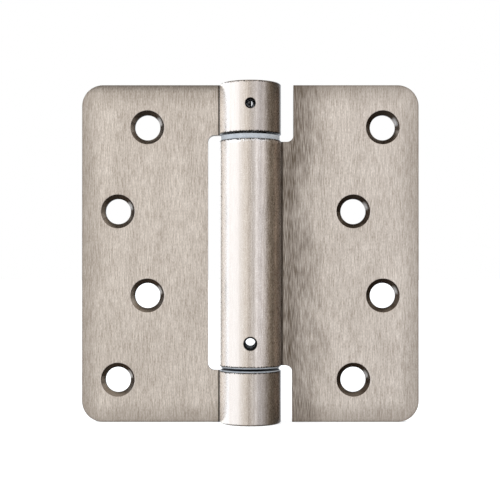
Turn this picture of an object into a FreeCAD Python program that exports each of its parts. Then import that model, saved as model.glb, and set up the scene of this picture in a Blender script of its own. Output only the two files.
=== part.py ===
import FreeCAD, Part
import math
import os
import Sketcher

# Spring hinge for a door, opened flat. Z is the pin line, up, with the origin on it at mid height.
# The viewer stands at -Y and sees the countersunk sides of both leaves.

doc = FreeCAD.newDocument("spring_hinge")
sheet = doc.addObject("Spreadsheet::Sheet", "sizes")
sheet.Label = "driving dimensions"

driving_dimensions = {
    # Leaves: two folded sheets of one thickness
    "leaf_height": 101.6,
    "leaf_reach": 50.8,
    "leaf_thick": 2.3,
    "closed_gap": 1.6,
    "corner_round": 6.35,
    "knuckle_outer": 18.4,
    "bend_inside": 1.0,
    "curl_seam": 0.3,
    "edge_break": 0.3,
    # Knuckles along the pin line
    "top_knuckle": 15.1,
    "low_knuckle": 15.6,
    "running_gap": 0.55,
    "cutout_gap": 3.6,
    "top_notch_gap": 3.8,
    "low_notch_gap": 3.4,
    "cutout_round": 2.0,
    # Countersunk screw holes in a zigzag
    "hole_rise": 25.4,
    "near_row": 31.1,
    "far_row": 40.0,
    "hole_width": 7.6,
    "sink_width": 10.3,
    "sink_angle": 90.0,
    # Fits between turned pieces and the barrel
    "press_gap": 0.02,
    "turning_gap": 0.08,
    # Anchor plug, held in the top knuckle by a coiled pin
    "plug_recess": 0.8,
    "plug_chamfer": 0.6,
    "spigot_gap": 0.3,
    "spigot_length": 5.0,
    "coiled_pin_width": 3.2,
    "coiled_pin_drop": 6.85,
    "coiled_pin_recess": 1.1,
    "coiled_pin_sheet": 0.38,
    "coiled_pin_pitch": 0.9,
    "coiled_pin_half_turns": 3.0,
    # Torsion spring of flat wire
    "coil_gap": 0.5,
    "wire_wide": 2.0,
    "wire_high": 3.0,
    "turn_pitch": 3.25,
    "tang_gap": 0.1,
    "coil_end_gap": 0.1,
    # Tension adjuster, turned by a key from below and held by a loose pin
    "tension_hole": 3.0,
    "window_width": 4.1,
    "window_rise": 7.1,
    "head_above": 6.0,
    "tension_steps": 6.0,
    "shank_recess": 1.0,
    "key_flats": 4.8,
    "key_depth": 9.0,
    # Bushes and washers
    "bush_wall": 2.05,
    "barrel_bush_length": 9.0,
    "bush_recess": 0.4,
    "washer_inset": 0.4,
    "washer_bore_gap": 0.15,
    "top_washer_thick": 1.45,
    "low_washer_thick": 0.45,
}

for row, (alias, amount) in enumerate(driving_dimensions.items(), start=1):
    sheet.set(f"A{row}", alias)
    sheet.set(f"B{row}", str(amount))
    sheet.setAlias(f"B{row}", alias)
doc.recompute()

# Formulas that several pieces share, in the sheet's words
half_height = "sizes.leaf_height / 2"
leaf_front = "sizes.closed_gap / 2"
outer_radius = "sizes.knuckle_outer / 2"
inner_radius = "(sizes.knuckle_outer / 2 - sizes.leaf_thick)"
top_cut = "(sizes.leaf_height / 2 - sizes.top_knuckle)"
low_cut = "(sizes.low_knuckle - sizes.leaf_height / 2)"
barrel_top = f"({top_cut} - sizes.running_gap - sizes.top_washer_thick)"
barrel_low = f"({low_cut} + sizes.running_gap + 2 * sizes.low_washer_thick)"
frame_cutout = f"({outer_radius} + sizes.cutout_gap)"
top_notch = f"({outer_radius} + sizes.top_notch_gap)"
low_notch = f"({outer_radius} + sizes.low_notch_gap)"
pressed_radius = f"({inner_radius} - sizes.press_gap)"
turning_radius = f"({inner_radius} - sizes.turning_gap)"
bush_bore = f"({pressed_radius} - sizes.bush_wall)"
journal_radius = f"({bush_bore} - sizes.turning_gap)"
washer_outer = f"({outer_radius} - sizes.washer_inset)"
washer_bore = f"({journal_radius} + sizes.washer_bore_gap)"
coil_radius = f"({inner_radius} - sizes.coil_gap)"
spigot_radius = f"({coil_radius} - sizes.wire_wide - sizes.spigot_gap)"
tang_slot = "(sizes.wire_wide + 2 * sizes.tang_gap)"
plug_top = f"({half_height} - sizes.plug_recess)"
bush_low = f"({barrel_top} - sizes.barrel_bush_length)"
coiled_pin_level = f"({half_height} - sizes.coiled_pin_drop)"
window_level = f"({barrel_low} + sizes.window_rise)"
head_top = f"({window_level} + sizes.head_above)"
shank_low = f"(sizes.shank_recess - {half_height})"


def amount(formula):
    """The number that a formula in the sheet's words gives."""
    return float(sheet.evalExpression(formula))


def point(across, along):
    return FreeCAD.Vector(across, along, 0)


def new_body(label):
    body = doc.addObject("PartDesign::Body", label)
    body.Label = label
    return body


def new_sketch(body, role, name, lift=None):
    """A sketch on one of the body's origin planes, moved off it by a formula."""
    plane = [item for item in body.Origin.OriginFeatures if item.Role == role][0]
    sketch = body.newObject("Sketcher::SketchObject", name)
    sketch.AttachmentSupport = (plane, [""])
    sketch.MapMode = "FlatFace"
    if lift:
        sketch.setExpression("AttachmentOffset.Base.z", lift)
    return sketch


def constrain(sketch, kind, *where):
    return sketch.addConstraint(Sketcher.Constraint(kind, *where))


def bind(sketch, formula, kind, *where):
    """A sized constraint that follows a formula."""
    index = sketch.addConstraint(Sketcher.Constraint(kind, *where, amount(formula)))
    sketch.setExpression(f"Constraints[{index}]", formula)


def draw_outline(sketch, corners):
    """A closed run of straight lines whose corners follow pairs of formulas."""
    places = [point(amount(across), amount(along)) for across, along in corners]
    for number, place in enumerate(places):
        following = places[(number + 1) % len(places)]
        sketch.addGeometry(Part.LineSegment(place, following), False)
    for number, (across, along) in enumerate(corners):
        constrain(sketch, "Coincident", number, 1, (number - 1) % len(corners), 2)
        bind(sketch, across, "DistanceX", -1, 1, number, 1)
        bind(sketch, along, "DistanceY", -1, 1, number, 1)


def draw_circle(sketch, across, along, radius):
    """A circle whose centre and radius follow formulas."""
    centre = point(amount(across), amount(along))
    circle = Part.Circle(centre, FreeCAD.Vector(0, 0, 1), amount(radius))
    number = sketch.addGeometry(circle, False)
    bind(sketch, across, "DistanceX", -1, 1, number, 3)
    bind(sketch, along, "DistanceY", -1, 1, number, 3)
    bind(sketch, radius, "Radius", number)


def turn(body, corners):
    """A turned solid: corners are radius and height, read along its half section."""
    section = new_sketch(body, "XZ_Plane", body.Label + "_section")
    draw_outline(section, corners)
    turned = body.newObject("PartDesign::Revolution", body.Label + "_turned")
    turned.Profile = section
    turned.ReferenceAxis = (section, ["V_Axis"])
    turned.Angle = 360
    doc.recompute()
    return turned


def cut_through(body, sketch, name):
    """A pocket that passes through everything, both ways from its sketch."""
    before = body.Shape.Volume
    pocket = body.newObject("PartDesign::Pocket", name)
    pocket.Profile = sketch
    pocket.Type = "ThroughAll"
    pocket.SideType = "Symmetric"
    doc.recompute()
    if body.Shape.Volume >= before:
        raise RuntimeError(name + " cuts nothing")
    return pocket


def named_edges(shape, wanted):
    return [f"Edge{number}" for number, edge in enumerate(shape.Edges, start=1) if wanted(edge)]


def round_edges(body, name, radius, wanted):
    """A fillet along the edges of the body that pass the test."""
    base = body.Tip
    fillet = body.newObject("PartDesign::Fillet", name)
    fillet.Base = (base, named_edges(base.Shape, wanted))
    fillet.setExpression("Radius", radius)
    doc.recompute()
    return fillet


def crosswise(reaches, levels):
    """Picks the edges along Y at any of these distances and heights."""
    def wanted(edge):
        box = edge.BoundBox
        straight = box.XLength < 0.01 and box.ZLength < 0.01
        at_reach = any(abs(box.XMin - reach) < 0.01 for reach in reaches)
        at_level = any(abs(box.ZMin - level) < 0.01 for level in levels)
        return straight and at_reach and at_level
    return wanted


def fold_leaf(body, side):
    """The sheet on edge: flat leaf, tight bend, then a curl round the pin line to a butt seam.

    side is -1 for the leaf at -X and 1 for the leaf at +X.
    """
    section = new_sketch(body, "XY_Plane", body.Label + "_fold")
    reach = amount("sizes.leaf_reach")
    thick = amount("sizes.leaf_thick")
    front = amount(leaf_front)
    outside = amount(outer_radius)
    inside = amount(inner_radius)
    bend_small = amount("sizes.bend_inside")
    bend_large = bend_small + thick
    seam = front - amount("sizes.curl_seam")

    bend_y = front + bend_large
    bend_x = math.sqrt((outside + bend_small) ** 2 - bend_y ** 2)
    bend_centre = point(side * bend_x, bend_y)
    towards = math.atan2(bend_y, side * bend_x)
    seam_in = point(side * math.sqrt(inside ** 2 - seam ** 2), seam)
    seam_out = point(side * math.sqrt(outside ** 2 - seam ** 2), seam)

    def on_circle(centre, radius, angle):
        return centre + point(radius * math.cos(angle), radius * math.sin(angle))

    centre = point(0, 0)
    leaf_foot = point(side * bend_x, front)
    leaf_heel = point(side * bend_x, front + thick)
    join_in = on_circle(centre, inside, towards)
    join_out = on_circle(centre, outside, towards)
    tip_front = point(side * reach, front)
    tip_back = point(side * reach, front + thick)

    mid_bend = (towards - 1.5 * math.pi) / 2
    pieces = [
        Part.LineSegment(tip_front, leaf_foot),
        Part.Arc(leaf_foot, on_circle(bend_centre, bend_large, mid_bend), join_in),
        Part.Arc(join_in, on_circle(centre, inside, -math.pi / 2), seam_in),
        Part.LineSegment(seam_in, seam_out),
        Part.Arc(seam_out, on_circle(centre, outside, -math.pi / 2), join_out),
        Part.Arc(join_out, on_circle(bend_centre, bend_small, mid_bend), leaf_heel),
        Part.LineSegment(leaf_heel, tip_back),
        Part.LineSegment(tip_back, tip_front),
    ]
    joints = [leaf_foot, join_in, seam_in, seam_out, join_out, leaf_heel, tip_back, tip_front]
    for piece in pieces:
        section.addGeometry(piece, False)
    front_line, bend_out, curl_in, end_line, curl_out, bend_in, back_line, tip_line = range(8)

    def end_at(number, place):
        """Which end of a drawn piece lies at a place: 1 for its start, 2 for its end."""
        return 1 if (section.getPoint(number, 1) - place).Length < 0.001 else 2

    smooth = {front_line, bend_out, curl_out, bend_in}
    for number, place in enumerate(joints):
        following = (number + 1) % len(joints)
        kind = "Tangent" if number in smooth else "Coincident"
        constrain(section, kind, number, end_at(number, place), following, end_at(following, place))
    constrain(section, "Coincident", curl_in, 3, -1, 1)
    constrain(section, "Coincident", curl_out, 3, -1, 1)
    constrain(section, "Coincident", bend_out, 3, bend_in, 3)
    for number in (front_line, end_line, back_line):
        constrain(section, "Horizontal", number)
    constrain(section, "Vertical", tip_line)
    bind(section, outer_radius, "Radius", curl_out)
    bind(section, "sizes.bend_inside", "Radius", bend_in)
    bind(section, f"{side} * sizes.leaf_reach", "DistanceX", -1, 1, front_line, 1)
    bind(section, leaf_front, "DistanceY", -1, 1, front_line, 1)
    bind(section, "sizes.leaf_thick", "DistanceY", front_line, 1, tip_line, 1)
    bind(section, f"{leaf_front} - sizes.curl_seam", "DistanceY", -1, 1, end_line, 1)

    blank = body.newObject("PartDesign::Pad", body.Label + "_blank")
    blank.Profile = section
    blank.SideType = "Symmetric"
    blank.setExpression("Length", "sizes.leaf_height")
    doc.recompute()


def cut_window(body, name, reach, low, top):
    """Cuts the sheet away round the pin line, between two heights."""
    window = new_sketch(body, "XZ_Plane", name + "_outline")
    draw_outline(window, [(f"-{reach}", low), (reach, low), (reach, top), (f"-{reach}", top)])
    cut_through(body, window, name)


def sink_screw_holes(body, side, rows):
    """Countersunk holes, one for each row named from the top down."""
    marks = new_sketch(body, "XZ_Plane", body.Label + "_hole_marks", f"-{leaf_front}")
    for number, row in enumerate(rows):
        level = f"{(len(rows) - 1) / 2 - number} * sizes.hole_rise"
        draw_circle(marks, f"{side} * sizes.{row}", level, "sizes.hole_width / 2")
    doc.recompute()
    before = body.Shape.Volume
    holes = body.newObject("PartDesign::Hole", body.Label + "_screw_holes")
    holes.Profile = marks
    holes.Threaded = False
    holes.DepthType = "ThroughAll"
    holes.setExpression("Diameter", "sizes.hole_width")
    holes.HoleCutType = "Countersink"
    holes.HoleCutCustomValues = True
    holes.setExpression("HoleCutDiameter", "sizes.sink_width")
    holes.setExpression("HoleCutCountersinkAngle", "sizes.sink_angle")
    doc.recompute()
    if body.Shape.Volume >= before:
        raise RuntimeError(holes.Name + " cuts nothing")


def drill_across(body, name, level, radius):
    """A round hole along Y through the whole piece."""
    mark = new_sketch(body, "XZ_Plane", name + "_mark")
    draw_circle(mark, "0", level, radius)
    cut_through(body, mark, name)


def slot_for_tang(body, low, top):
    """A slot along X that takes the spring's straight end."""
    half = f"({tang_slot} / 2)"
    outline = new_sketch(body, "YZ_Plane", body.Label + "_slot_outline")
    draw_outline(outline, [(f"-{half}", low), (half, low), (half, top), (f"-{half}", top)])
    cut_through(body, outline, body.Label + "_tang_slot")


def soften_rims(body, levels):
    """Breaks the sharp outer rims of the knuckles; the cut runs on along the sheet's edge."""
    outside = amount(outer_radius)
    heights = [amount(level) for level in levels]

    def wanted(edge):
        box = edge.BoundBox
        level = box.ZLength < 0.01 and any(abs(box.ZMin - height) < 0.01 for height in heights)
        round_rim = hasattr(edge.Curve, "Radius") and abs(edge.Curve.Radius - outside) < 0.01
        return level and round_rim

    base = body.Tip
    chamfer = body.newObject("PartDesign::Chamfer", body.Label + "_soft_rims")
    chamfer.Base = (base, named_edges(base.Shape, wanted))
    chamfer.setExpression("Size", "sizes.edge_break")
    doc.recompute()


def make_frame_leaf():
    """The leaf on the door frame, with a knuckle at each end."""
    body = new_body("frame_leaf")
    fold_leaf(body, -1)
    cut_window(body, "frame_leaf_window", frame_cutout, low_cut, top_cut)
    half = amount(half_height)
    round_edges(body, "frame_leaf_corners", "sizes.corner_round",
                crosswise([-amount("sizes.leaf_reach")], [half, -half]))
    round_edges(body, "frame_leaf_window_corners", "sizes.cutout_round",
                crosswise([-amount(frame_cutout)], [amount(low_cut), amount(top_cut)]))
    sink_screw_holes(body, -1, ["near_row", "far_row", "near_row", "far_row"])
    drill_across(body, "frame_leaf_pin_hole", coiled_pin_level, "sizes.coiled_pin_width / 2")
    soften_rims(body, [half_height, f"-{half_height}"])
    return body


def make_door_leaf():
    """The leaf on the door, with the long barrel that holds the spring."""
    body = new_body("door_leaf")
    fold_leaf(body, 1)
    beyond = f"({half_height} + sizes.leaf_thick)"
    cut_window(body, "door_leaf_top_notch", top_notch, barrel_top, beyond)
    cut_window(body, "door_leaf_low_notch", low_notch, f"-{beyond}", barrel_low)
    half = amount(half_height)
    round_edges(body, "door_leaf_corners", "sizes.corner_round",
                crosswise([amount("sizes.leaf_reach")], [half, -half]))
    round_edges(body, "door_leaf_notch_corners", "sizes.cutout_round",
                crosswise([amount(top_notch), amount(low_notch)],
                          [amount(barrel_low), amount(barrel_top)]))
    sink_screw_holes(body, 1, ["far_row", "near_row", "far_row", "near_row"])
    drill_across(body, "door_leaf_tension_window", window_level, "sizes.window_width / 2")
    return body


def make_anchor_plug():
    """Fixed in the top knuckle; its journal carries the barrel and its slot holds the spring."""
    body = new_body("anchor_plug")
    spigot_end = f"({bush_low} - sizes.spigot_length)"
    turn(body, [
        ("0", plug_top),
        (f"{pressed_radius} - sizes.plug_chamfer", plug_top),
        (pressed_radius, f"{plug_top} - sizes.plug_chamfer"),
        (pressed_radius, top_cut),
        (journal_radius, top_cut),
        (journal_radius, bush_low),
        (spigot_radius, bush_low),
        (spigot_radius, spigot_end),
        ("0", spigot_end),
    ])
    drill_across(body, "anchor_plug_pin_hole", coiled_pin_level, "sizes.coiled_pin_width / 2")
    slot_for_tang(body, spigot_end, bush_low)
    return body


def make_tension_adjuster():
    """Turns in the barrel on the loose pin's holes; its shank is the lower pivot."""
    body = new_body("tension_adjuster")
    spigot_end = f"({head_top} + sizes.spigot_length)"
    turn(body, [
        ("0", spigot_end),
        (spigot_radius, spigot_end),
        (spigot_radius, head_top),
        (f"{turning_radius} - sizes.plug_chamfer", head_top),
        (turning_radius, f"{head_top} - sizes.plug_chamfer"),
        (turning_radius, barrel_low),
        (journal_radius, barrel_low),
        (journal_radius, f"{shank_low} + sizes.plug_chamfer"),
        (f"{journal_radius} - sizes.plug_chamfer", shank_low),
        ("0", shank_low),
    ])
    slot_for_tang(body, head_top, spigot_end)

    mark = new_sketch(body, "XZ_Plane", "tension_hole_mark")
    draw_circle(mark, "0", window_level, "sizes.tension_hole / 2")
    hole = body.newObject("PartDesign::Pocket", "tension_hole")
    hole.Profile = mark
    hole.Type = "ThroughAll"
    doc.recompute()
    holes = body.newObject("PartDesign::PolarPattern", "tension_holes")
    holes.Originals = [hole]
    holes.Axis = (mark, ["V_Axis"])
    holes.Angle = 360
    holes.setExpression("Occurrences", "sizes.tension_steps")
    body.Tip = holes
    doc.recompute()

    socket = new_sketch(body, "XY_Plane", "key_socket_outline", shank_low)
    corner = "(sizes.key_flats / 2 / cos(30))"
    draw_outline(socket, [(f"{corner} * cos({60 * turn_by})", f"{corner} * sin({60 * turn_by})")
                          for turn_by in range(6)])
    key = body.newObject("PartDesign::Pocket", "key_socket")
    key.Profile = socket
    key.Reversed = True
    key.setExpression("Length", "sizes.key_depth")
    before = holes.Shape.Volume
    doc.recompute()
    if body.Shape.Volume >= before:
        raise RuntimeError("the key socket cuts nothing")
    return body


def make_ring(label, inner, outer, low, top):
    """A bush or a washer, turned."""
    body = new_body(label)
    turn(body, [(inner, low), (outer, low), (outer, top), (inner, top)])
    return body


def make_coiled_pin():
    """A pin rolled from spring strip, seen end on as a spiral of half turns."""
    body = new_body("coiled_pin")
    spiral = new_sketch(body, "XZ_Plane", "coiled_pin_spiral")
    spiral.setExpression("AttachmentOffset.Base.y", coiled_pin_level)
    halves = round(amount("sizes.coiled_pin_half_turns"))
    step = "sizes.coiled_pin_pitch / 2"
    ends = []
    for strip_face in ("0", "sizes.coiled_pin_sheet"):
        for half in range(halves):
            radius = f"(sizes.coiled_pin_width / 2 - sizes.press_gap - {half} * {step} - {strip_face})"
            centre_x = f"-({step})" if half % 2 else "0"
            centre = point(amount(centre_x), 0)
            circle = Part.Circle(centre, FreeCAD.Vector(0, 0, 1), amount(radius))
            angles = (math.pi, 2 * math.pi) if half % 2 else (0, math.pi)
            number = spiral.addGeometry(Part.ArcOfCircle(circle, *angles), False)
            bind(spiral, radius, "Radius", number)
            if half in (0, halves - 1):
                ends.append(spiral.getPoint(number, 1 if half == 0 else 2))
    outer_start, outer_stop, inner_start, inner_stop = ends
    spiral.addGeometry(Part.LineSegment(outer_start, inner_start), False)
    spiral.addGeometry(Part.LineSegment(outer_stop, inner_stop), False)
    strip = body.newObject("PartDesign::Pad", "coiled_pin_strip")
    strip.Profile = spiral
    strip.SideType = "Symmetric"
    strip.setExpression("Length", "sizes.knuckle_outer - 2 * sizes.coiled_pin_recess")
    doc.recompute()
    return body


def make_torsion_spring():
    """Flat wire wound in a close coil, with a straight tang across the middle at each end."""
    outside = amount(coil_radius)
    wide = amount("sizes.wire_wide")
    high = amount("sizes.wire_high")
    inside = outside - wide
    end_gap = amount("sizes.coil_end_gap")
    low = amount(head_top) + end_gap
    rise = amount(bush_low) - end_gap - high - low
    half_turns = math.floor(2 * rise / amount("sizes.turn_pitch"))
    flats_per_half_turn = 7
    flats = half_turns * flats_per_half_turn

    def wire_section(number):
        angle = math.pi * number / flats_per_half_turn
        level = low + rise * number / flats
        heading = FreeCAD.Vector(math.cos(angle), math.sin(angle), 0)
        foot = FreeCAD.Vector(0, 0, level)
        lift = FreeCAD.Vector(0, 0, high)
        inner = foot + heading * inside
        outer = foot + heading * outside
        return [inner, outer, outer + lift, inner + lift]

    def facet(*corners):
        return Part.Face(Part.makePolygon([*corners, corners[0]]))

    sections = [wire_section(number) for number in range(flats + 1)]
    faces = [facet(*sections[0]), facet(*sections[-1])]
    for here, there in zip(sections, sections[1:]):
        for first, second in ((0, 1), (2, 3)):
            faces.append(facet(here[first], here[second], there[second]))
            faces.append(facet(here[first], there[second], there[first]))
        for first, second in ((1, 2), (3, 0)):
            faces.append(facet(here[first], here[second], there[second], there[first]))
    coil = Part.makeSolid(Part.makeShell(faces))

    reach = math.sqrt(outside ** 2 - (wide / 2) ** 2)
    length = reach + inside - amount("sizes.tang_gap")
    low_tang = Part.makeBox(length, wide, high, FreeCAD.Vector(reach - length, -wide / 2, low))
    top_tang = Part.makeBox(length, wide, high, FreeCAD.Vector(reach - length, -wide / 2, low + rise))
    if half_turns % 2:
        top_tang.rotate(FreeCAD.Vector(0, 0, 0), FreeCAD.Vector(0, 0, 1), 180)
    spring = doc.addObject("Part::Feature", "torsion_spring")
    spring.Label = "torsion_spring"
    spring.Shape = coil.fuse([low_tang, top_tang])
    return spring


sub_parts = [
    make_frame_leaf(),
    make_anchor_plug(),
    make_coiled_pin(),
    make_ring("knuckle_bush", bush_bore, pressed_radius, f"(sizes.bush_recess - {half_height})", low_cut),
    make_ring("knuckle_washer", washer_bore, washer_outer, low_cut,
              f"({low_cut} + sizes.low_washer_thick)"),
    make_door_leaf(),
    make_ring("barrel_bush", bush_bore, pressed_radius, bush_low, barrel_top),
    make_ring("top_washer", washer_bore, washer_outer, barrel_top,
              f"({barrel_top} + sizes.top_washer_thick)"),
    make_ring("barrel_washer", washer_bore, washer_outer,
              f"({barrel_low} - sizes.low_washer_thick)", barrel_low),
    make_tension_adjuster(),
    make_torsion_spring(),
]
doc.recompute()

for item in doc.Objects:
    if "Invalid" in item.State or "Error" in item.State:
        raise RuntimeError(f"{item.Label} failed: {item.State}")
os.makedirs("parts", exist_ok=True)
for piece in sub_parts:
    shape = piece.Shape
    if shape.isNull() or not shape.isValid() or len(shape.Solids) != 1:
        raise RuntimeError(f"{piece.Label} is not one valid solid")
    shape.exportStep(f"parts/{piece.Label}.step")
    print(piece.Label, round(shape.Volume, 1), len(shape.Faces))
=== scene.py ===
import math

import bmesh
import bpy
from mathutils import Matrix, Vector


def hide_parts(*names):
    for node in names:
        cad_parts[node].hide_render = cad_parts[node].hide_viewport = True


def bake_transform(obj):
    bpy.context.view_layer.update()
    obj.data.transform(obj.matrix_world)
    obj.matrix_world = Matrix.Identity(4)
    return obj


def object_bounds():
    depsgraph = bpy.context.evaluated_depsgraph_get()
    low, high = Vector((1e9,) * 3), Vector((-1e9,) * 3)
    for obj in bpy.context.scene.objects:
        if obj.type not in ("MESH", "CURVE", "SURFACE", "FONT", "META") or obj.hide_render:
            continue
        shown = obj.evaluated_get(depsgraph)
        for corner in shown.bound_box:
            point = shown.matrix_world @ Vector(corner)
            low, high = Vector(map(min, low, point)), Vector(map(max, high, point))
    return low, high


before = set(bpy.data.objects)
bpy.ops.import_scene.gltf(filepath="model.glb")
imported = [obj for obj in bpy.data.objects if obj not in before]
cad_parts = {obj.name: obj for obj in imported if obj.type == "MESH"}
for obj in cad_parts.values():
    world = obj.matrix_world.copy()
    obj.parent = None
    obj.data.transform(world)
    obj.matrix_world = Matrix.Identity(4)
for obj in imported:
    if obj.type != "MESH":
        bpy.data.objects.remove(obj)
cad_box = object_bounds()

MM = 0.001

# Sizes of the leaves in millimetres, as the frame has them
LEAF_REACH = 50.8
LEAF_FRONT = 0.8
LEAF_BACK = 3.1
CORNER_ROUND = 6.35
HOLE_RISE = 25.4
NEAR_ROW = 31.1
FAR_ROW = 40.0
SINK_RADIUS = 5.15

# Sizes of the barrel, the knuckles and what shows in them
KNUCKLE_RADIUS = 9.2
WASHER_RADIUS = 8.8
WINDOW = 2.05
WINDOW_LEVEL = -26.65
PIN_HOLE = 1.6
PIN_LEVEL = 43.95
TOP_KNUCKLE_END = 35.7
BARREL_TOP = 33.7
BARREL_LOW = -33.75
LOW_KNUCKLE_END = -35.2
LOW_GAP = -34.475

# How round a rim of the sheet looks
RIM_ROUND = 0.25


class Wire:
    """An output of a node, on which arithmetic can be written."""

    def __init__(self, finish, socket):
        self.finish = finish
        self.socket = socket

    def __add__(self, other):
        return self.finish.maths("ADD", self, other)

    def __radd__(self, other):
        return self.finish.maths("ADD", other, self)

    def __sub__(self, other):
        return self.finish.maths("SUBTRACT", self, other)

    def __rsub__(self, other):
        return self.finish.maths("SUBTRACT", other, self)

    def __mul__(self, other):
        return self.finish.maths("MULTIPLY", self, other)

    def __rmul__(self, other):
        return self.finish.maths("MULTIPLY", other, self)

    def __truediv__(self, other):
        return self.finish.maths("DIVIDE", self, other)

    def __pow__(self, other):
        return self.finish.maths("POWER", self, other)


class Finish:
    """The nodes of a material or of the world, added one at a time."""

    def __init__(self, owner):
        self.owner = owner
        owner.use_nodes = True
        self.tree = owner.node_tree
        self.tree.nodes.clear()

    def node(self, kind, settings=None, inputs=None, out=0):
        """Adds a node: its settings first, then the values or wires of its sockets."""
        made = self.tree.nodes.new(kind)
        for name, setting in (settings or {}).items():
            if name == "stops":
                self.set_stops(made.color_ramp, setting)
            else:
                setattr(made, name, setting)
        for name, value in (inputs or {}).items():
            if isinstance(value, Wire):
                self.tree.links.new(value.socket, made.inputs[name])
            else:
                made.inputs[name].default_value = value
        return Wire(self, made.outputs[out]) if made.outputs else made

    def set_stops(self, ramp, stops):
        ramp.elements.remove(ramp.elements[1])
        ramp.elements[0].position, ramp.elements[0].color = stops[0]
        for where, colour in stops[1:]:
            ramp.elements.new(where).color = colour

    def maths(self, operation, *terms):
        return self.node("ShaderNodeMath", {"operation": operation}, dict(enumerate(terms)))

    def blend(self, amount, first, second):
        """A colour between two others."""
        return self.node("ShaderNodeMix", {"data_type": "RGBA"}, {0: amount, 6: first, 7: second}, 2)

    def spread(self, value, low, high):
        """Rises smoothly from 0 to 1 as the value goes from low to high."""
        return self.node("ShaderNodeMapRange", {"interpolation_type": "SMOOTHSTEP"},
                         {0: value, 1: low, 2: high})

    def place(self):
        """Where a point is on the object, in metres."""
        return self.node("ShaderNodeTexCoord", out="Object")

    def along(self, place, axis):
        return self.node("ShaderNodeSeparateXYZ", None, {0: place}, axis)

    def noise(self, place, scale, detail=3.0, roughness=0.5):
        """Noise whose grain has its own scale along each axis."""
        stretched = self.node("ShaderNodeMapping", None, {"Vector": place, "Scale": scale})
        return self.node("ShaderNodeTexNoise", None, {
            "Vector": stretched, "Scale": 1.0, "Detail": detail, "Roughness": roughness})

    def bump(self, height, depth, strength=1.0):
        return self.node("ShaderNodeBump", None, {
            "Height": height, "Distance": depth, "Strength": strength})

    def shader(self, **inputs):
        """The Principled shader, with its sockets named in words."""
        sockets = {name if name[0].isupper() else name.replace("_", " ").title(): value
                   for name, value in inputs.items()}
        return self.node("ShaderNodeBsdfPrincipled", None, sockets)

    def output(self, shader):
        self.node("ShaderNodeOutputMaterial", None, {"Surface": shader})
        return self.owner


def shade(red, green, blue):
    """A colour given as a screen shows it, 0 to 255, in the renderer's own numbers."""
    def linear(level):
        level = level / 255
        return level / 12.92 if level <= 0.04045 else ((level + 0.055) / 1.055) ** 2.4
    return (linear(red), linear(green), linear(blue), 1)


def new_finish(name):
    return Finish(bpy.data.materials.new(name))


def add_thing(name, data):
    """Puts a mesh or a camera in the scene, at the origin."""
    thing = bpy.data.objects.new(name, data)
    bpy.context.scene.collection.objects.link(thing)
    return thing


def edge_reach(finish, across, upward):
    """How far in from the leaf's rounded outline a point is, in millimetres."""
    inner = LEAF_REACH - CORNER_ROUND
    past_side = finish.maths("MAXIMUM", finish.maths("ABSOLUTE", across) - inner, 0.0)
    past_end = finish.maths("MAXIMUM", finish.maths("ABSOLUTE", upward) - inner, 0.0)
    return CORNER_ROUND - (past_side * past_side + past_end * past_end) ** 0.5


def hole_reach(finish, across, upward):
    """How far a point is from the middle of the nearest screw hole, and how far it lies to its right and up.

    The last two are shares of the first. The near and far rows take turns up a leaf, and the other leaf is
    the same turned half round.
    """
    out = finish.maths("ABSOLUTE", across)
    hand = finish.maths("SIGN", across)
    turned = upward * hand * -1
    found = []
    for row, level in ((NEAR_ROW, 1.5 * HOLE_RISE), (FAR_ROW, 0.5 * HOLE_RISE)):
        rise = finish.maths("WRAP", turned - level, HOLE_RISE, -HOLE_RISE)
        side = out - row
        found.append(((rise * rise + side * side) ** 0.5, side * hand, rise * hand * -1))
    (near, near_right, near_up), (far, far_right, far_up) = found
    use_near = finish.maths("LESS_THAN", near, far)
    reach = finish.maths("MINIMUM", near, far)
    rightward = far_right + use_near * (near_right - far_right)
    raised = far_up + use_near * (near_up - far_up)
    return reach, rightward / reach, raised / reach


def in_round_hole(finish, across, upward, level, radius):
    """A mask of a round hole in the barrel or the knuckle."""
    rise = upward - level
    return finish.spread((across * across + rise * rise) ** 0.5, radius + 0.03, radius - 0.02)


def near_level(finish, upward, levels, reach):
    """A mask that is 1 at any of these heights and fades to 0 at the given reach from it."""
    gaps = [finish.maths("ABSOLUTE", upward - level) for level in levels]
    nearest = gaps[0]
    for gap in gaps[1:]:
        nearest = finish.maths("MINIMUM", nearest, gap)
    return finish.spread(nearest / reach, 1.0, 0.5)


# Colours of the nickel plate, of its wear, and of the light and shade painted on it
NICKEL_DARK = shade(138, 119, 103)
NICKEL_LIGHT = shade(246, 230, 214)
LEAF_TINT = shade(176, 158, 130)
DARKER_MARGIN = shade(100, 84, 67)
ROLLED_EDGE_SHADE = shade(112, 100, 88)
TOP_EDGE_SHADE = shade(88, 78, 67)
CORNER_SHADE = shade(84, 69, 54)
CREASE_SHADE = shade(46, 35, 26)
CUT_WALL_SHADE = shade(80, 71, 62)
SHADED_SINK_METAL = shade(108, 96, 84)
SINK_UPPER_SHADE = shade(40, 35, 30)
SINK_LOW_LIGHT = shade(190, 176, 160)
SINK_GLINT = shade(204, 196, 188)
HOLE_SHADE = shade(22, 19, 17)
FLANK_HIGHLIGHT = shade(250, 245, 239)
BAND_SHADE = shade(150, 132, 112)
RIGHT_SHADE_MOTTLE = shade(84, 75, 66)
DIE_LINES = shade(92, 80, 68)
FLECKS = shade(238, 226, 212)
SHADOWED = shade(60, 52, 45)
KNUCKLE_SHADE = shade(88, 77, 68)
RUBBED_RIM = shade(252, 246, 240)
RIM_SHADE = shade(30, 26, 22)


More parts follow.
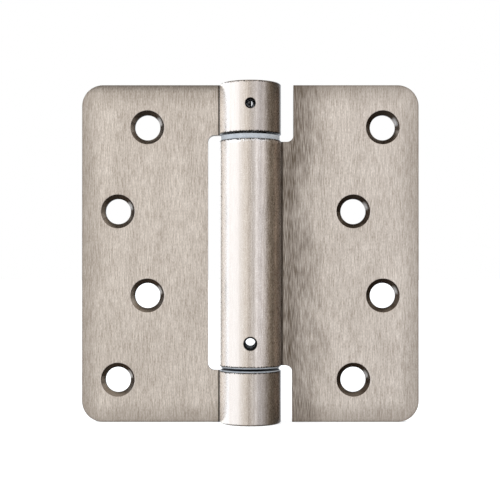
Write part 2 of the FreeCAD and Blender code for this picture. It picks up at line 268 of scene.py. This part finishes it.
class NickelSheet:
    """Warm nickel plate over brushed steel, laid on in layers, some of which paint light and shade. All
    distances are in millimetres.
    """

    def __init__(self):
        finish = new_finish("satin_nickel")
        place = finish.place()
        self.finish = finish
        self.place = place
        self.across = finish.along(place, 0) * 1000
        self.inward = finish.along(place, 1) * 1000
        self.upward = finish.along(place, 2) * 1000
        self.out = finish.maths("ABSOLUTE", self.across)
        self.on_left = finish.spread(self.across, 0.0, -1.0)
        self.on_barrel = finish.spread(self.out, KNUCKLE_RADIUS + 0.12, KNUCKLE_RADIUS + 0.04)
        self.on_face = (finish.spread(self.inward, LEAF_FRONT - 0.6, LEAF_FRONT - 0.1)
                        * finish.spread(self.inward, LEAF_FRONT + 0.8, LEAF_FRONT + 0.4))

        # Short brushed scratches, longer hairs, pits of the plate's grain, and two sizes of cloud
        self.fine = finish.noise(place, (6100, 6100, 1300), 0.0, 0.5)
        self.streaks = finish.noise(place, (5200, 5200, 300), 0.0, 0.5)
        self.specks = finish.noise(place, (3600, 3600, 2900), 1.0, 0.5)
        self.scratches = finish.spread(self.fine, 0.22, 0.78)
        self.hairs = finish.spread(self.streaks, 0.22, 0.78)
        self.pits = finish.spread(self.specks, 0.25, 0.75)
        self.drift = finish.spread(finish.noise(place, (120, 120, 42), 3.0, 0.6), 0.28, 0.72)
        self.blotches = finish.spread(finish.noise(place, (430, 430, 150), 3.0, 0.6), 0.3, 0.7)

        # The left of the barrel is drawn smooth by the die, and its middle nearly so
        self.drawn = finish.spread(self.across, 0.5, -4.0) * self.on_barrel
        self.smooth = 0.4 * self.drawn + 0.6 * finish.spread(self.across, 4.8, 3.6) * self.on_barrel

        self.lay_plate()
        self.darken_leaf_edges()
        self.paint_corner_shade()
        self.paint_cut_wall_shade_and_glints()
        self.darken_barrel_holes()
        self.paint_barrel_light_and_marks()
        self.shade_and_rub_rims()

    def cover(self, amount, colour):
        """Lays another colour over what is there."""
        self.colour = self.finish.blend(amount, self.colour, colour)

    def lay_plate(self):
        off_barrel = 1.0 - self.on_barrel
        grain = self.scratches * 0.27 + self.hairs * 0.38 + self.pits * 0.15 + self.drift * 0.08 + 0.06
        tone = 0.5 + (grain - 0.5) * (1.0 - 0.85 * self.smooth) + 0.06 * off_barrel
        self.colour = self.finish.blend(tone, NICKEL_DARK, NICKEL_LIGHT)
        self.cover(0.12 * off_barrel, LEAF_TINT)

    def darken_leaf_edges(self):
        """The leaf is darker towards the outline, the sheared edge is turned over with painted shade along
        it, and the top edge has a band of painted shade, stronger on the left leaf.
        """
        spread = self.finish.spread
        from_edge = edge_reach(self.finish, self.across, self.upward)
        # Darker towards the outline.
        margin = spread(from_edge + 2.0 * self.drift, 10.0, 1.0) * self.on_face * (1.0 - self.on_barrel)
        self.cover(margin * 0.40, DARKER_MARGIN)
        # Painted shade along the sheared edge; the same mask gives the edge its relief and roughness.
        self.rolled_edge_and_shade = spread(from_edge + 0.8 * self.specks, 1.3, 0.4) * self.on_face
        self.cover(self.rolled_edge_and_shade * 0.35, ROLLED_EDGE_SHADE)
        # Painted shade along the top edge, stronger on the left leaf; the same mask sinks that edge in
        # relief.
        from_top = LEAF_REACH - self.upward + 2.2 * self.fine
        self.rolled_top_and_shade = spread(from_top, 3.8, 0.9) * self.on_face * (0.25 + 0.75 * self.on_left)
        self.cover(self.rolled_top_and_shade * 0.62, TOP_EDGE_SHADE)

    def paint_corner_shade(self):
        """Painted shade on the right leaf beside the barrel, mottled and streaked, and painted shade in the
        crease of both leaves.
        """
        spread = self.finish.spread
        # Painted shade where the barrel shades the right leaf, a little lighter right next to the barrel.
        corner_reach = self.across + 3.5 * self.drift + 3.5 * self.blotches
        in_corner = spread(corner_reach, 27.5, 13.8) * spread(self.across, 8.6, 9.0) * self.on_face
        in_corner = in_corner * (0.90 - 0.42 * self.hairs + 0.12 * self.blotches)
        self.cover(in_corner - 0.14 * spread(self.across, 11.8, 10.8), CORNER_SHADE)
        # Painted shade in the crease by the barrel; the same mask sinks the crease in relief.
        crease = spread(self.out + 0.17 * self.on_left, 10.1, 9.7) * self.on_face
        self.crease = crease * (0.8 + 0.15 * self.on_left)
        self.cover(self.crease, CREASE_SHADE)

    def paint_cut_wall_shade_and_glints(self):
        """Painted shade on the cut walls and in the countersinks, darkest at their upper left, with painted
        light low in each countersink and a painted glint at its upper right.
        """
        spread = self.finish.spread
        wall = spread(self.inward, LEAF_FRONT + 0.02, LEAF_FRONT + 0.07)
        wall = wall * spread(self.inward, LEAF_BACK - 0.02, LEAF_BACK - 0.08) * spread(self.out, 9.8, 10.2)
        # Painted shade on the cut walls.
        self.cover(wall * 0.7, CUT_WALL_SHADE)
        reach, rightward, raised = hole_reach(self.finish, self.across, self.upward)
        self.sink = wall * spread(reach, SINK_RADIUS + 0.15, SINK_RADIUS)
        # The countersinks are painted darker for the shade in them.
        self.cover(self.sink, SHADED_SINK_METAL)
        # Painted shade, darkest towards the upper left of each countersink.
        upper_sink_shade = self.sink * spread(raised * 0.75 - rightward * 0.66, 0.1, 0.95)
        self.cover(upper_sink_shade * 0.45, SINK_UPPER_SHADE)
        # Painted light on the lower part of each countersink, stronger on the left leaf.
        lower_sink_light = self.sink * spread(raised, 0.1, -0.8)
        self.cover(lower_sink_light * (0.05 + 0.4 * self.on_left), SINK_LOW_LIGHT)
        # Painted glint at the upper right of each countersink.
        self.glint = self.sink * spread(rightward * 0.9 + raised * 0.43, 0.91, 1.0) * spread(reach, 4.9, 4.2)
        self.cover(self.glint * 0.85, SINK_GLINT)

    def darken_barrel_holes(self):
        # Painted shade on the walls of the barrel's window and pin hole.
        in_front = self.finish.spread(self.inward, -4.0, -5.0)
        window = in_round_hole(self.finish, self.across, self.upward, WINDOW_LEVEL, WINDOW)
        pin_hole = in_round_hole(self.finish, self.across, self.upward, PIN_LEVEL, PIN_HOLE)
        self.cover((window + pin_hole) * in_front, HOLE_SHADE)

    def paint_barrel_light_and_marks(self):
        """The curled sheet has a painted highlight on its left flank, a band of painted shade left of its
        middle, mottled painted shade and a painted shadow on its right, die lines and flecks, and painted
        shade on the right of the knuckles.
        """
        spread = self.finish.spread
        across = self.across
        on_barrel = self.on_barrel
        # Painted highlight on the barrel's left flank.
        left_flank_highlight = spread(across, -5.8, -8.0) * spread(self.inward, 6.0, -1.0) * on_barrel
        self.cover(left_flank_highlight * 0.85, FLANK_HIGHLIGHT)
        # A band of painted shade left of the barrel's middle.
        shaded_band = spread(across, -3.6, -3.0) * spread(across, -0.8, -2.0) * on_barrel
        self.cover(shaded_band * 0.16, BAND_SHADE)
        # Painted shade on the barrel's right, mottled in blotches.
        mottled_right_shade = spread(across + 3.0 * self.drift, 3.0, 8.0) * on_barrel
        self.cover(mottled_right_shade * (0.20 + 0.22 * self.blotches), RIGHT_SHADE_MOTTLE)
        die_lines = spread(self.finish.noise(self.place, (850, 850, 7), 1.0, 0.5), 0.42, 0.66)
        self.cover(die_lines * 0.26 * (1.0 - self.drawn) * on_barrel, DIE_LINES)
        flecks = spread(self.specks, 0.55, 0.72) * spread(across, -3.4, -2.4) * on_barrel
        self.cover(flecks * 0.24, FLECKS)
        shadowed = spread(across, 7.2, 9.3) * on_barrel
        self.cover(shadowed * 0.42, SHADOWED)

        on_knuckle = spread(self.finish.maths("ABSOLUTE", self.upward), 34.4, 35.0) * on_barrel
        ragged_across = across + self.drift
        # Painted shade on the right of the knuckles, faint on their left.
        shaded_knuckle_side = spread(ragged_across, -3.6, -1.0) * 0.04 + spread(ragged_across, 1.2, 3.4) * 0.34
        self.cover(shaded_knuckle_side * on_knuckle, KNUCKLE_SHADE)

    def shade_and_rub_rims(self):
        """Painted shade darkens the rims by the washers, the barrel's top rim and the knuckles' outer rims,
        more at the top, and the barrel's top rim is rubbed bright.
        """
        finish = self.finish
        upward = self.upward
        ragged = 0.12 + 0.55 * self.pits
        rim_shade_reach = 0.08 + 0.8 * self.pits
        rubbed = near_level(finish, upward, (BARREL_TOP,), ragged * 2.6) * finish.spread(self.fine, 0.35, 0.6)
        self.cover(rubbed * self.on_barrel * 0.7, RUBBED_RIM)
        # Painted shade on the rounded rims by the washers, on the barrel's top rim and on the knuckles' outer
        # rims, more at the top.
        washer_rim_shade = near_level(finish, upward, (TOP_KNUCKLE_END, BARREL_LOW, LOW_KNUCKLE_END), ragged)
        top_rim_shade = near_level(finish, upward, (BARREL_TOP,), rim_shade_reach)
        radius = (self.across * self.across + self.inward * self.inward) ** 0.5
        at_rim = finish.spread(radius, KNUCKLE_RADIUS - 0.3, KNUCKLE_RADIUS - 0.1)
        end_rim_shade = near_level(finish, upward, (LEAF_REACH, -LEAF_REACH), rim_shade_reach) * at_rim
        end_rim_shade = end_rim_shade * (0.35 + 0.65 * finish.spread(upward, -10, 10))
        self.cover((washer_rim_shade + top_rim_shade + end_rim_shade) * self.on_barrel * 0.92, RIM_SHADE)

    def finished(self):
        """The material, with the grain and the wear also in its relief and its gloss."""
        grain = self.fine * 0.4 + self.streaks * 0.3 + self.specks * 0.3
        normal = self.finish.node("ShaderNodeBump", None, {
            "Height": grain - self.rolled_edge_and_shade * 1.5 - self.rolled_top_and_shade * 2.0 - self.crease * 4.0,
            "Distance": 0.02 * MM,
            "Strength": (0.4 - 0.32 * self.smooth) * (1.0 - 0.6 * self.sink),
            "Normal": self.finish.node("ShaderNodeBevel", {"samples": 6}, {"Radius": RIM_ROUND * MM}),
        })
        roughness = 0.36 - 0.12 * self.on_barrel + 0.10 * self.scratches + 0.10 * self.rolled_edge_and_shade
        roughness = roughness - 0.22 * self.sink + 0.35 * self.glint
        return self.finish.output(self.finish.shader(
            base_color=self.colour, metallic=1.0, roughness=roughness, normal=normal))


def satin_nickel():
    return NickelSheet().finished()


def plain_steel():
    """Turned steel, with the fine rings of the tool round its axis."""
    finish = new_finish("plain_steel")
    place = finish.place()
    across = finish.along(place, 0)
    inward = finish.along(place, 1)
    lengthwise = finish.along(place, 2)
    radius = (across * across + inward * inward) ** 0.5
    rings = finish.maths("SINE", lengthwise * 26000 + radius * 26000)
    wear = finish.noise(place, (700, 700, 700), 4.0, 0.6)
    tone = rings * 0.12 + finish.spread(wear, 0.3, 0.7) * 0.7 + 0.1
    colour = finish.blend(tone, shade(150, 147, 142), shade(196, 193, 188))
    shader = finish.shader(base_color=colour, metallic=1.0, roughness=0.26 + 0.16 * wear,
                           normal=finish.bump(rings * 0.4 + wear, 0.01 * MM, 0.5))
    return finish.output(shader)


def oiled_steel():
    """Steel blackened with an oiled oxide coat and painted darker still for the shade behind the barrel's
    window, rubbed brighter in places.
    """
    finish = new_finish("oiled_steel")
    place = finish.place()
    rubbed = finish.noise(place, (420, 420, 420), 4.0, 0.6)
    grain = finish.noise(place, (2400, 2400, 2400), 2.0, 0.5)
    tone = finish.spread(rubbed, 0.42, 0.72) * 0.7 + grain * 0.3
    colour = finish.blend(tone, shade(18, 17, 16), shade(56, 53, 50))
    shader = finish.shader(base_color=colour, metallic=0.45, roughness=0.5 + 0.2 * grain,
                           normal=finish.bump(grain, 0.01 * MM, 0.4))
    return finish.output(shader)


def spring_steel():
    """Dark drawn spring wire with a thin film of oil."""
    finish = new_finish("spring_steel")
    place = finish.place()
    drawn = finish.noise(place, (900, 900, 2600), 3.0, 0.55)
    film = finish.noise(place, (180, 180, 180), 3.0, 0.5)
    tone = finish.spread(drawn, 0.3, 0.7) * 0.6 + finish.spread(film, 0.35, 0.65) * 0.4
    colour = finish.blend(tone, shade(122, 117, 112), shade(196, 190, 184))
    shader = finish.shader(base_color=colour, metallic=1.0, roughness=0.24 + 0.18 * film,
                           normal=finish.bump(drawn, 0.01 * MM, 0.4))
    return finish.output(shader)


def pin_steel():
    """The coiled pin: oil-dark and painted darker for the shade in its hole, with a painted glint on the cut
    end of its inner curl and a fainter one to its left.
    """
    finish = new_finish("pin_steel")
    place = finish.place()
    across = finish.along(place, 0) * 1000
    rise = finish.along(place, 2) * 1000 - PIN_LEVEL
    grain = finish.noise(place, (2400, 2400, 2400), 2.0, 0.5)
    inner = finish.spread((across * across + rise * rise) ** 0.5, 1.15, 1.0)
    # Painted glint on the cut end of the inner curl.
    right = finish.spread(across, 0.22, 0.34) * finish.spread(across, 0.70, 0.56) * inner
    # A fainter painted glint on the curl to the left.
    left = finish.spread(across, -0.1, -0.3) * inner
    colour = finish.blend(grain, shade(14, 13, 12), shade(36, 34, 32))
    colour = finish.blend(left * 0.55, colour, shade(120, 114, 108))
    colour = finish.blend(right, colour, shade(240, 235, 230))
    shader = finish.shader(base_color=colour, metallic=1.0, roughness=0.3 + 0.15 * grain,
                           normal=finish.bump(grain, 0.01 * MM, 0.4))
    return finish.output(shader)


def washer_plastic():
    """Pale blue-grey acetal, with painted shade on the faces that rub and in the gap between the lower
    washers.
    """
    finish = new_finish("washer_plastic")
    place = finish.place()
    across = finish.along(place, 0) * 1000
    inward = finish.along(place, 1) * 1000
    grain = finish.noise(place, (1500, 1500, 1500), 3.0, 0.5)
    clouds = finish.noise(place, (260, 260, 260), 2.0, 0.5)
    tone = finish.spread(clouds, 0.3, 0.7) * 0.7 + grain * 0.3
    colour = finish.blend(tone, shade(174, 176, 177), shade(207, 207, 206))
    # Painted shade on the faces inside the rim and in the gap between the lower washers.
    radius = (across * across + inward * inward) ** 0.5 + 0.1 * grain
    washer_gap_shade = finish.spread(radius, WASHER_RADIUS + 0.02, WASHER_RADIUS - 0.08)
    from_gap = finish.maths("ABSOLUTE", finish.along(place, 2) * 1000 - LOW_GAP) + 0.1 * grain
    washer_gap_shade = finish.maths("MAXIMUM", washer_gap_shade, finish.spread(from_gap, 0.5, 0.38))
    colour = finish.blend(washer_gap_shade * 0.9, colour, shade(40, 42, 46))
    shader = finish.shader(base_color=colour, roughness=0.38 + 0.14 * grain,
                           normal=finish.bump(grain, 0.02 * MM, 0.4))
    return finish.output(shader)


def bush_plastic():
    """Off-white bearing plastic with flow marks."""
    finish = new_finish("bush_plastic")
    place = finish.place()
    grain = finish.noise(place, (1300, 1300, 1300), 3.0, 0.5)
    flow = finish.noise(place, (240, 240, 60), 3.0, 0.5)
    tone = finish.spread(flow, 0.3, 0.7) * 0.7 + grain * 0.3
    colour = finish.blend(tone, shade(206, 203, 194), shade(232, 230, 222))
    shader = finish.shader(base_color=colour, roughness=0.42 + 0.14 * grain,
                           normal=finish.bump(grain, 0.02 * MM, 0.4))
    return finish.output(shader)


# The torsion spring, in millimetres: flat wire wound upward from the tension adjuster to the anchor plug
WIRE_WIDE = 2.0
WIRE_HIGH = 3.0
WIRE_ROUND = 0.35
COIL_MIDDLE = 5.4
COIL_LOW = -20.55
COIL_RISE = 42.15
COIL_HALF_TURNS = 25
COIL_STEPS = 300
TANG_BEND = 1.3
TANG_END = 4.3
TANG_GAP = 0.1
TANG_STEPS = 10
ROUND_STEPS = 4


def wind_half_spring():
    """The lower half of a close coil of flat wire, whose end turns in and runs across the middle."""
    bend_out = (COIL_MIDDLE * (COIL_MIDDLE - 2 * TANG_BEND)) ** 0.5
    lean = math.atan2(TANG_BEND, bend_out)

    shape = bmesh.new()
    bmesh.ops.create_grid(shape, x_segments=1, y_segments=1, size=0.5)
    bmesh.ops.scale(shape, verts=shape.verts, vec=(WIRE_WIDE, WIRE_HIGH, 1))
    bmesh.ops.bevel(shape, geom=shape.verts[:], affect="VERTICES", offset=WIRE_ROUND,
                    segments=ROUND_STEPS, profile=0.5)
    bmesh.ops.delete(shape, geom=shape.faces[:], context="FACES_ONLY")
    upright = Matrix.Rotation(math.pi / 2, 4, "Z") @ Matrix.Rotation(math.pi / 2, 4, "X")
    start = Matrix.Translation((-TANG_END, 0, COIL_LOW + WIRE_HIGH / 2))
    bmesh.ops.transform(shape, verts=shape.verts, matrix=start @ upright)

    def wind(ring, middle, angle, steps, rise=0.0):
        """Sweeps the wire's outline round a middle and gives its last place."""
        corners = list({corner for edge in ring for corner in edge.verts})
        made = bmesh.ops.spin(shape, geom=corners + ring, cent=middle, axis=(0, 0, 1),
                              dvec=(0, 0, rise / steps), angle=angle, steps=steps)["geom_last"]
        return [part for part in made if isinstance(part, bmesh.types.BMEdge)]

    first = shape.edges[:]
    made = bmesh.ops.extrude_edge_only(shape, edges=first)["geom"]
    ends = [part for part in made if isinstance(part, bmesh.types.BMVert)]
    bmesh.ops.translate(shape, verts=ends, vec=(bend_out + TANG_END, 0, 0))
    edges = [part for part in made if isinstance(part, bmesh.types.BMEdge)]
    ring = [edge for edge in edges if set(edge.verts) <= set(ends)]
    ring = wind(ring, (bend_out, TANG_BEND, 0), math.pi / 2 + lean, TANG_STEPS)
    ring = wind(ring, (0, 0, 0), math.pi * COIL_HALF_TURNS / 2 - lean, COIL_STEPS, COIL_RISE / 2)
    for rim in (first, ring):
        bmesh.ops.contextual_create(shape, geom=rim)
    bmesh.ops.recalc_face_normals(shape, faces=shape.faces)
    for face in shape.faces:
        face.smooth = len(face.verts) == 4
    return shape


def add_spring():
    """The spring in two halves that meet in the middle."""
    middle = COIL_LOW + (COIL_RISE + WIRE_HIGH) / 2
    over = Matrix.Translation((0, 0, 2 * middle)) @ Matrix.Rotation(math.pi, 4, "Y")
    halves = (
        ("spring_lower_half", Matrix(), "door", "adjuster",
         middle - WIRE_HIGH / 2 - TANG_GAP, COIL_LOW + WIRE_HIGH),
        ("spring_upper_half", over, "frame", "door",
         COIL_LOW + COIL_RISE, middle + WIRE_HIGH / 2 + TANG_GAP),
    )
    for name, placing, first_body, last_body, start, end in halves:
        shape = wind_half_spring()
        bmesh.ops.transform(shape, verts=shape.verts, matrix=Matrix.Scale(MM, 4) @ placing)
        mesh = bpy.data.meshes.new(name)
        shape.to_mesh(mesh)
        shape.free()
        half = add_thing(name, mesh)
        mesh.materials.append(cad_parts["torsion_spring"].material_slots[0].material)
        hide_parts("torsion_spring")
        start * MM
        end * MM
        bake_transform(half)


FINISHES = (
    (satin_nickel, ("frame_leaf", "door_leaf")),
    (plain_steel, ("anchor_plug",)),
    (oiled_steel, ("tension_adjuster",)),
    (pin_steel, ("coiled_pin",)),
    (spring_steel, ("torsion_spring",)),
    (washer_plastic, ("top_washer", "barrel_washer", "knuckle_washer")),
    (bush_plastic, ("barrel_bush", "knuckle_bush")),
)


def finish_nodes():
    """Gives every node of the frame its material."""
    for make, names in FINISHES:
        material = make()
        for name in names:
            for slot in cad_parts[name].material_slots:
                slot.material = material


# Light round the hinge by its direction: 0 degrees is the viewer's side, and left is below 0
LIGHT_PEAK = 3.8
LIGHT_ROUND = (
    (-180, (1.06, 1.14, 1.24)),
    (-156, (1.22, 1.26, 1.32)),
    (-134, (1.62, 1.62, 1.62)),
    (-112, (1.48, 1.51, 1.53)),
    (-94, (1.74, 1.96, 2.26)),
    (-70, (1.82, 2.10, 2.48)),
    (-44, (1.74, 1.98, 2.31)),
    (-28, (1.47, 1.62, 1.80)),
    (-16, (1.29, 1.38, 1.46)),
    (-5, (0.83, 0.85, 0.87)),
    (3, (0.66, 0.70, 0.75)),
    (9, (1.16, 1.27, 1.40)),
    (15, (1.50, 1.66, 1.90)),
    (28, (1.42, 1.58, 1.84)),
    (38, (0.82, 0.90, 1.05)),
    (53, (1.66, 1.80, 2.04)),
    (64, (0.44, 0.43, 0.42)),
    (78, (0.42, 0.39, 0.34)),
    (92, (0.27, 0.25, 0.22)),
    (108, (0.14, 0.14, 0.13)),
    (126, (0.20, 0.20, 0.20)),
    (142, (0.66, 0.70, 0.76)),
    (166, (1.03, 1.11, 1.20)),
    (180, (1.06, 1.14, 1.24)),
)
LIGHT_ABOVE = 0.62
LIGHT_BELOW = 0.34


def light_the_room():
    """Bright on the left and behind, in bands of light and shade in front, and dark on the right."""
    room = Finish(bpy.data.worlds.new("room"))
    bpy.context.scene.world = room.owner
    direction = room.node("ShaderNodeTexCoord", out="Generated")
    across = room.along(direction, 0)
    inward = room.along(direction, 1)
    upward = room.along(direction, 2)
    turn = room.maths("ARCTAN2", across, inward * -1)
    stops = [((angle + 180) / 360, (*(part / LIGHT_PEAK for part in colour), 1))
             for angle, colour in LIGHT_ROUND]
    around = room.node("ShaderNodeValToRGB", {"stops": stops}, {0: turn / (2 * math.pi) + 0.5})
    below = (*[LIGHT_BELOW / LIGHT_PEAK] * 3, 1)
    above = (*[LIGHT_ABOVE / LIGHT_PEAK] * 3, 1)
    colour = room.blend(room.spread(upward, -0.30, -0.75), around, below)
    colour = room.blend(room.spread(upward, 0.30, 0.75), colour, above)
    lit = room.node("ShaderNodeBackground", None, {
        "Color": colour, "Strength": LIGHT_PEAK * (1 + 0.3 * upward)})
    seen = room.node("ShaderNodeBackground", None, {"Color": (1, 1, 1, 1), "Strength": 1.0})
    camera_ray = room.node("ShaderNodeLightPath", out="Is Camera Ray")
    both = room.node("ShaderNodeMixShader", None, {0: camera_ray, 1: lit, 2: seen})
    room.node("ShaderNodeOutputWorld", None, {"Surface": both})


# The floor's height and reach, in metres, and how much it glows for the camera alone
FLOOR_LEVEL = cad_box[0][2] - 0.05 * MM
FLOOR_REACH = 6
FLOOR_GLOW = 0.55


def lay_floor():
    """A plain pale floor under the hinge. It lets the gloss see the room past it."""
    mesh = bpy.data.meshes.new("floor")
    shape = bmesh.new()
    bmesh.ops.create_grid(shape, x_segments=1, y_segments=1, size=FLOOR_REACH)
    bmesh.ops.translate(shape, verts=shape.verts, vec=(0, 0, FLOOR_LEVEL))
    shape.to_mesh(mesh)
    shape.free()
    floor = add_thing("floor", mesh)
    finish = new_finish("floor_paper")
    fleck = finish.noise(finish.place(), (90, 90, 90), 2.0, 0.5)
    paper = finish.shader(base_color=finish.blend(fleck, (0.93, 0.93, 0.93, 1), (0.95, 0.95, 0.95, 1)),
                          roughness=1.0, **{"Specular IOR Level": 0.0})
    camera_ray = finish.node("ShaderNodeLightPath", out="Is Camera Ray")
    glow = finish.node("ShaderNodeEmission", None, {
        "Color": (1, 1, 1, 1), "Strength": FLOOR_GLOW * camera_ray})
    white = finish.node("ShaderNodeAddShader", None, {0: paper, 1: glow})
    clear = finish.node("ShaderNodeBsdfTransparent", None, {"Color": (1, 1, 1, 1)})
    glossy_ray = finish.node("ShaderNodeLightPath", out="Is Glossy Ray")
    finish.output(finish.node("ShaderNodeMixShader", None, {0: glossy_ray, 1: white, 2: clear}))
    mesh.materials.append(finish.owner)


# The camera, in front of the hinge and tipped up a little
CAMERA_PLACE = (0.0, -332.0 * MM, -5.7 * MM)
CAMERA_TILT = 0.2
CAMERA_LENS = 79.4
CAMERA_SENSOR = 36
CAMERA_SHIFT = (-0.0007, 0.0370)


def set_camera():
    """The photograph's own view."""
    camera = add_thing("camera", bpy.data.cameras.new("camera"))
    camera.location = CAMERA_PLACE
    camera.rotation_euler = (math.radians(90 + CAMERA_TILT), 0, 0)
    camera.data.lens = CAMERA_LENS
    camera.data.sensor_width = CAMERA_SENSOR
    camera.data.shift_x, camera.data.shift_y = CAMERA_SHIFT
    camera.data.clip_start = 0.01
    bpy.context.scene.camera = camera


finish_nodes()
add_spring()
light_the_room()
lay_floor()
set_camera()
bpy.context.scene.view_settings.view_transform = "Standard"
